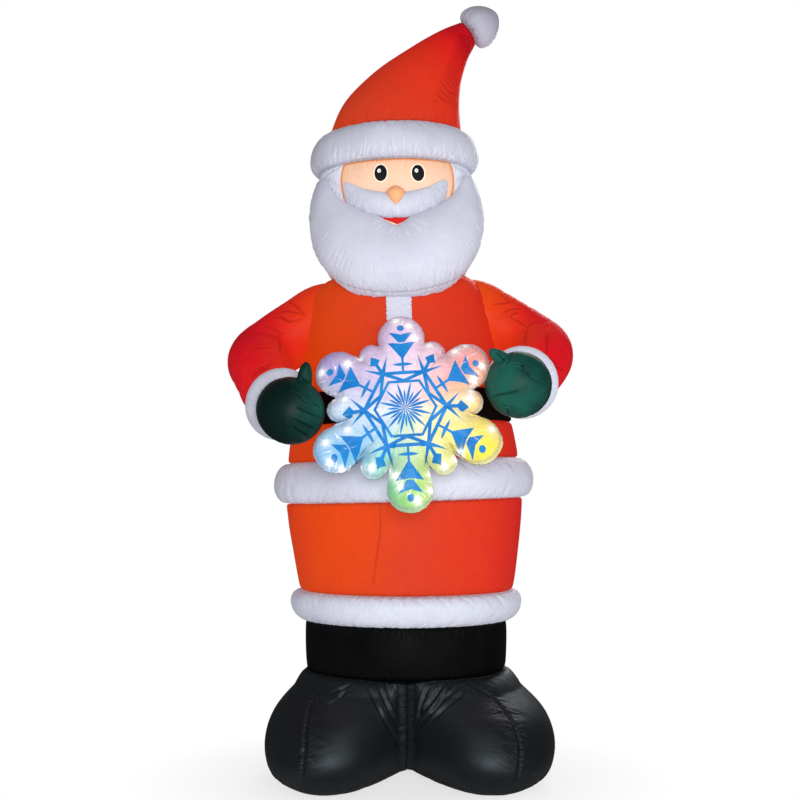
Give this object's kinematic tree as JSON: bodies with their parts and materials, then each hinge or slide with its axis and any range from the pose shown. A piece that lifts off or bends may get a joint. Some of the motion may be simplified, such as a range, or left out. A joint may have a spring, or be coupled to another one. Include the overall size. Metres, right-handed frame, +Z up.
{
  "type": "inflatable figure",
  "caption": "Tall inflatable Father Christmas in a belted fur-trimmed suit and bent stocking hat, holding a lit round-lobed snowflake cushion in front of his waist.",
  "frame": {"origin": "on the ground, under the middle of the figure's box", "axes": "+Z up, -Y towards the viewer he faces, +X towards his own left hand"},
  "size_m": [1.6204, 1.4814, 3.6867],
  "materials": {
    "red_nylon": "thin coated ripstop cloth, soft sheen",
    "white_nylon": "thin coated ripstop cloth, soft sheen, puckered at the seams",
    "black_nylon": "thin coated ripstop cloth, bluish sheen",
    "green_nylon": "thin coated ripstop cloth, soft sheen",
    "face_nylon": "cloth face panel in warm skin colour with printed eyes and mouth, white cloth behind it",
    "nose_nylon": "thin coated cloth, warmer than the face",
    "snowflake_film": "translucent cloth lit from inside in changing colours, with a printed blue ornament"
  },
  "bodies": {
    "root": {"left_boot": "black_nylon", "right_boot": "black_nylon", "boot_shaft": "black_nylon", "boot_trim": "white_nylon", "trousers": "red_nylon", "jacket_trim": "white_nylon", "jacket_skirt": "red_nylon", "belt": "black_nylon", "jacket": "red_nylon", "front_strip": "white_nylon", "left_sleeve": "red_nylon", "right_sleeve": "red_nylon", "left_cuff": "white_nylon", "right_cuff": "white_nylon", "left_mitten": "green_nylon", "right_mitten": "green_nylon", "snowflake": "snowflake_film", "head": "face_nylon", "beard": "white_nylon", "moustache": "white_nylon", "nose": "nose_nylon", "hat_trim": "white_nylon", "hat": "red_nylon", "pompom": "white_nylon"}
  },
  "joints": []
}
